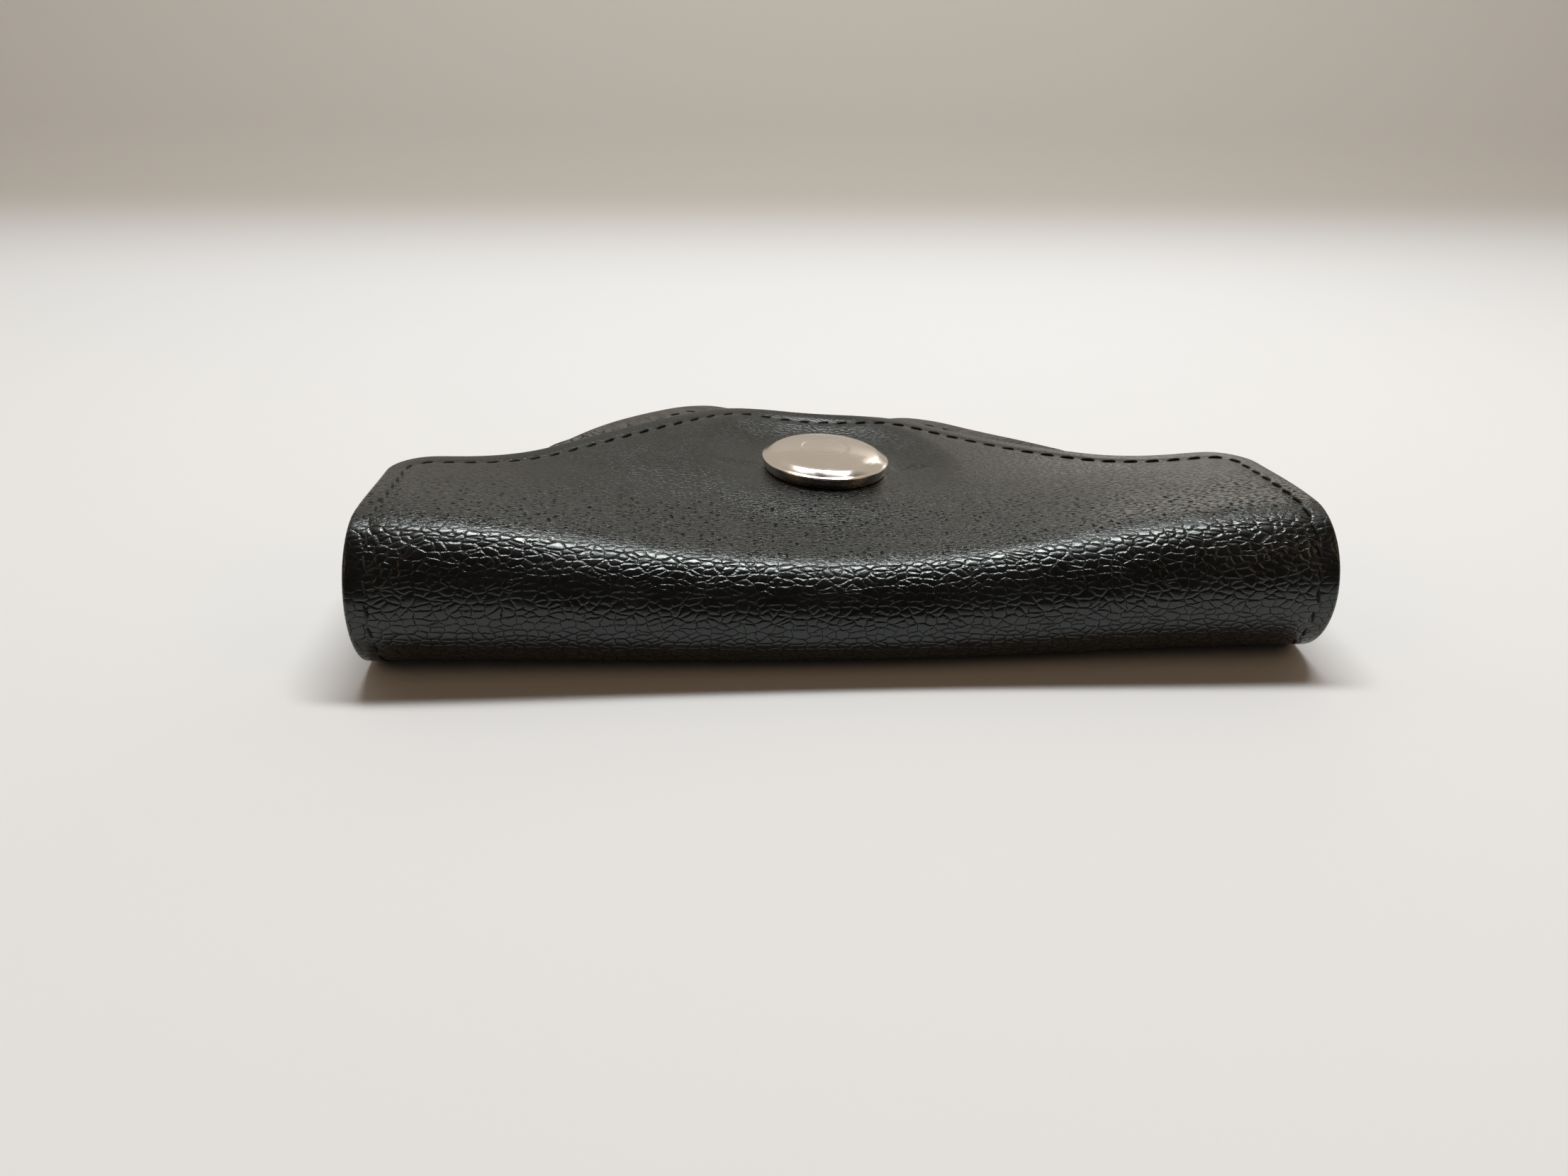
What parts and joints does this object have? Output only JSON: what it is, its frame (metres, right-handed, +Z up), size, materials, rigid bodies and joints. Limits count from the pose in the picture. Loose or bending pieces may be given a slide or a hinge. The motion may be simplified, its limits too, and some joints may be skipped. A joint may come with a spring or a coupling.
{
  "type": "coin case",
  "caption": "Small leather coin case that opens like a jaw at its rounded spine, with folded side gussets and two tapered tabs held by a press stud.",
  "frame": {"origin": "on the table under the middle of the closed case, at the centre of its length and depth", "axes": "+X along the spine, +Y from the spine to the tabs, +Z up through the flap and its press stud"},
  "size_m": [0.1, 0.0474, 0.0163],
  "materials": {
    "outer_leather": "black pebbled grain with a soft sheen and dark creases",
    "lining": "smooth grey-brown leather, satin",
    "gusset_leather": "thin soft black leather, fine grain",
    "pale_nickel": "polished pale nickel with a warm tint",
    "spring_steel": "bright drawn wire"
  },
  "bodies": {
    "back_shell": {"outer_leather_back": "outer_leather", "lining_back": "lining", "snap_stud": "pale_nickel", "snap_post": "pale_nickel"},
    "flap": {"outer_leather_flap": "outer_leather", "lining_flap": "lining", "snap_cap": "pale_nickel", "snap_socket": "pale_nickel", "snap_spring": "spring_steel"},
    "gusset_left_lower_leaf": {"gusset_left_lower": "gusset_leather"},
    "gusset_left_upper_leaf": {"gusset_left_upper": "gusset_leather"},
    "gusset_right_lower_leaf": {"gusset_right_lower": "gusset_leather"},
    "gusset_right_upper_leaf": {"gusset_right_upper": "gusset_leather"}
  },
  "joints": [
    {"name": "flap_hinge", "type": "hinge", "parent": "back_shell", "child": "flap", "pos_m": [0, -0.02375, 0.00815], "axis": [1, 0, 0], "range_deg": [0, 70]},
    {"name": "gusset_left_lower_fold", "type": "hinge", "parent": "back_shell", "child": "gusset_left_lower_leaf", "pos_m": [-0.0485, -0.01725, 0.0023], "axis": [0, -1, 0], "range_deg": [0, 35]},
    {"name": "gusset_left_upper_fold", "type": "hinge", "parent": "flap", "child": "gusset_left_upper_leaf", "pos_m": [-0.0485, -0.01725, 0.01399], "axis": [0, 0.9981, -0.0621], "range_deg": [0, 35]},
    {"name": "gusset_right_lower_fold", "type": "hinge", "parent": "back_shell", "child": "gusset_right_lower_leaf", "pos_m": [0.0485, -0.01725, 0.0023], "axis": [0, 1, 0], "range_deg": [0, 35]},
    {"name": "gusset_right_upper_fold", "type": "hinge", "parent": "flap", "child": "gusset_right_upper_leaf", "pos_m": [0.0485, -0.01725, 0.01399], "axis": [0, -0.9981, 0.0621], "range_deg": [0, 35]}
  ],
  "couplings": [
    {"joint": "gusset_left_lower_fold", "follows": "flap_hinge", "ratio": 0.5},
    {"joint": "gusset_left_upper_fold", "follows": "flap_hinge", "ratio": 0.5},
    {"joint": "gusset_right_lower_fold", "follows": "flap_hinge", "ratio": 0.5},
    {"joint": "gusset_right_upper_fold", "follows": "flap_hinge", "ratio": 0.5}
  ]
}
